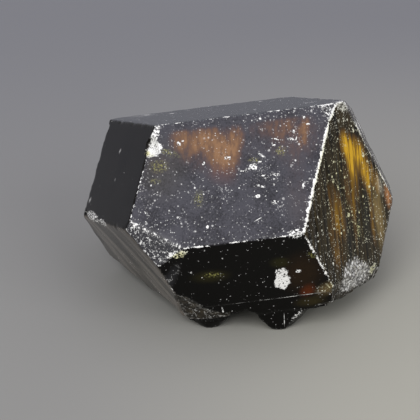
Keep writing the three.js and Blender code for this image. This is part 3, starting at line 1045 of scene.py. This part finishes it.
class GarnetSettings(bpy.types.PropertyGroup):
    """Sizes and colours of the crystal."""

    cell: FloatProperty(
        name="Cell", description="Size of the surface's cells", default=0.147 * MM, unit="LENGTH",
        precision=5)
    edge_rounding: FloatProperty(
        name="Edge rounding", description="How softly the faces meet", default=0.035 * MM,
        unit="LENGTH", precision=5)
    body_colour: FloatVectorProperty(
        name="Body", description="Black body of the crystal", default=(0.002, 0.0018, 0.0015),
        subtype="COLOR")
    # Haze: fine scratches, and painted sheen standing in for the main face's reflection of the overhead light
    haze_and_sheen_colour: FloatVectorProperty(
        name="Haze", description="Finely scratched main face", default=(0.0605, 0.06, 0.0715),
        subtype="COLOR")
    # Painted reflection: the grey that the top face shows at a grazing angle, standing in for gloss
    top_reflection_colour: FloatVectorProperty(
        name="Top", description="Dusty top face", default=(0.085, 0.09, 0.103), subtype="COLOR")
    # Painted reflection: the lower left face's grey, from the floor, in stripes
    lower_left_reflection_colour: FloatVectorProperty(
        name="Lower left", description="Dull stripes of the lower left face", default=(0.168, 0.15, 0.132),
        subtype="COLOR")
    streak_colour: FloatVectorProperty(
        name="Streaks", description="Olive brown streaks of the striated face", default=(0.045, 0.034, 0.016),
        subtype="COLOR")
    yellow_colour: FloatVectorProperty(
        name="Yellow grains", description="Yellow green grains in the faces", default=(0.3, 0.29, 0.09),
        subtype="COLOR")
    yellowed_colour: FloatVectorProperty(
        name="Yellowed", description="White wear tinged yellow", default=(0.72, 0.7, 0.38), subtype="COLOR")
    bevel_colour: FloatVectorProperty(
        name="Bevels", description="Abraded small faces at the corners", default=(0.09, 0.09, 0.1),
        subtype="COLOR")
    break_colour: FloatVectorProperty(
        name="Breaks", description="Torn surface of the breaks", default=(0.018, 0.016, 0.013),
        subtype="COLOR")
    break_light_colour: FloatVectorProperty(
        name="Brown of the breaks", description="Where light comes through the breaks",
        default=(0.06, 0.048, 0.03), subtype="COLOR")
    crushed_colour: FloatVectorProperty(
        name="Crushed", description="Pale crushed grain of the breaks", default=(0.87, 0.87, 0.86),
        subtype="COLOR")
    wear_colour: FloatVectorProperty(
        name="Wear", description="White of worn edges, chips, dust and chalk", default=(0.9, 0.9, 0.88),
        subtype="COLOR")
    refraction: FloatProperty(name="Refraction", description="Index of refraction", default=1.88)
    gloss: FloatProperty(
        name="Gloss", description="Strength of the reflections", default=0.07, subtype="FACTOR")
    polish: FloatProperty(
        name="Polish", description="Roughness of the clean faces", default=0.15, subtype="FACTOR")


class StageSettings(bpy.types.PropertyGroup):
    """The camera, the floor and the light."""

    floor_colour: FloatVectorProperty(
        name="Floor", description="Plain pale floor", default=(0.385, 0.38, 0.33), subtype="COLOR")
    # Painted shade: the dim floor at the back left
    painted_shade_floor_colour: FloatVectorProperty(
        name="Far floor", description="The floor at the back left", default=(0.19, 0.193, 0.207),
        subtype="COLOR")
    lens: FloatProperty(name="Lens", description="Focal length", default=137.0, unit="CAMERA")
    key: FloatProperty(name="Key light", description="Strength of the key light", default=1.9)
    fill: FloatProperty(name="Fill light", description="Strength of the fill light", default=1.0)
    sky: FloatProperty(name="Overhead light", description="Brightness of the light from above", default=0.8)
    surround: FloatProperty(
        name="Surround", description="Brightness of the light from the sides", default=0.27)


class GARNET_OT_crystal(bpy.types.Operator):
    """Build the crystal's fine surface and its finish"""

    bl_idname = "garnet.crystal"
    bl_label = "Garnet crystal"

    def execute(self, context):
        settings = context.scene.garnet
        piece = fine_copy(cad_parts[NODE], settings.cell)
        carve_surface(piece.data, settings)
        piece.data.materials.clear()
        piece.data.materials.append(garnet_finish(settings))
        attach(piece, "root")
        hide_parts(NODE)
        return {"FINISHED"}


def sun(name, towards, strength, colour):
    """A broad soft light from a direction."""
    lamp = bpy.data.lights.new(name, "SUN")
    lamp.energy = strength
    lamp.angle = math.radians(SUN_ANGLE)
    lamp.color = colour
    light = bpy.data.objects.new(name, lamp)
    light.rotation_mode = "QUATERNION"
    light.rotation_quaternion = Vector(towards).to_track_quat("Z", "Y")
    bpy.context.scene.collection.objects.link(light)


class GARNET_OT_stage(bpy.types.Operator):
    """Build the floor, the light and the camera"""

    bl_idname = "garnet.stage"
    bl_label = "Stage"

    def execute(self, context):
        settings = context.scene.garnet_stage
        scene = context.scene
        shape = bmesh.new()
        bmesh.ops.create_circle(shape, cap_ends=True, segments=96, radius=FLOOR_RADIUS)
        bmesh.ops.translate(shape, verts=shape.verts, vec=(0, 0, -FLOOR_DROP))
        mesh = bpy.data.meshes.new("floor")
        shape.to_mesh(mesh)
        shape.free()
        floor = bpy.data.objects.new("floor", mesh)
        scene.collection.objects.link(floor)
        mesh.materials.append(floor_finish(settings))

        world = bpy.data.worlds.new("studio")
        scene.world = world
        shader = Shader(world)
        view = shader.node("ShaderNodeTexCoord").outputs["Generated"]
        height = shader.part(view, "Z")
        above = shader.rise(height, SKY_BEGINS, SKY_FULL)
        side = [settings.surround * channel for channel in SIDE_TINT]
        sky = [settings.sky * channel for channel in SKY_TINT]
        colour = shader.blend(above, side, sky)
        background = shader.node("ShaderNodeBackground", {}, {"Color": colour, "Strength": 1.0})
        output = shader.node("ShaderNodeOutputWorld")
        shader.tree.links.new(background.outputs[0], output.inputs["Surface"])

        sun("key", KEY_FROM, settings.key, KEY_TINT)
        sun("fill", FILL_FROM, settings.fill, FILL_TINT)

        camera = bpy.data.cameras.new("camera")
        camera.lens = settings.lens
        camera.sensor_width = SENSOR_WIDTH
        viewer = bpy.data.objects.new("camera", camera)
        target = GROWTH_CENTRE * MM
        place = target + VIEW_FROM * MM
        viewer.location = place
        viewer.rotation_mode = "QUATERNION"
        viewer.rotation_quaternion = (target - place).to_track_quat("-Z", "Y")
        camera.clip_start = 0.001
        camera.clip_end = 10
        scene.collection.objects.link(viewer)
        scene.camera = viewer
        scene.view_settings.view_transform = "Standard"
        return {"FINISHED"}


class GARNET_PT_panel(bpy.types.Panel):
    """The crystal's and the stage's settings"""

    bl_idname = "GARNET_PT_panel"
    bl_label = "Garnet crystal"
    bl_space_type = "VIEW_3D"
    bl_region_type = "UI"
    bl_category = "Garnet"

    def draw(self, context):
        for settings, operator in (
            (context.scene.garnet, GARNET_OT_crystal),
            (context.scene.garnet_stage, GARNET_OT_stage),
        ):
            for name in settings.__annotations__:
                self.layout.prop(settings, name)
            self.layout.operator(operator.bl_idname)


CLASSES = (GarnetSettings, StageSettings, GARNET_OT_crystal, GARNET_OT_stage, GARNET_PT_panel)


def register():
    """Adds the classes and their settings to Blender."""
    for entry in CLASSES:
        bpy.utils.register_class(entry)
    bpy.types.Scene.garnet = PointerProperty(type=GarnetSettings)
    bpy.types.Scene.garnet_stage = PointerProperty(type=StageSettings)


def unregister():
    """Takes the classes and their settings out of Blender."""
    del bpy.types.Scene.garnet_stage
    del bpy.types.Scene.garnet
    for entry in reversed(CLASSES):
        bpy.utils.unregister_class(entry)


def main():
    """Builds the crystal and the stage."""
    register()
    bpy.ops.garnet.stage()
    bpy.ops.garnet.crystal()


if __name__ == "__main__":
    main()
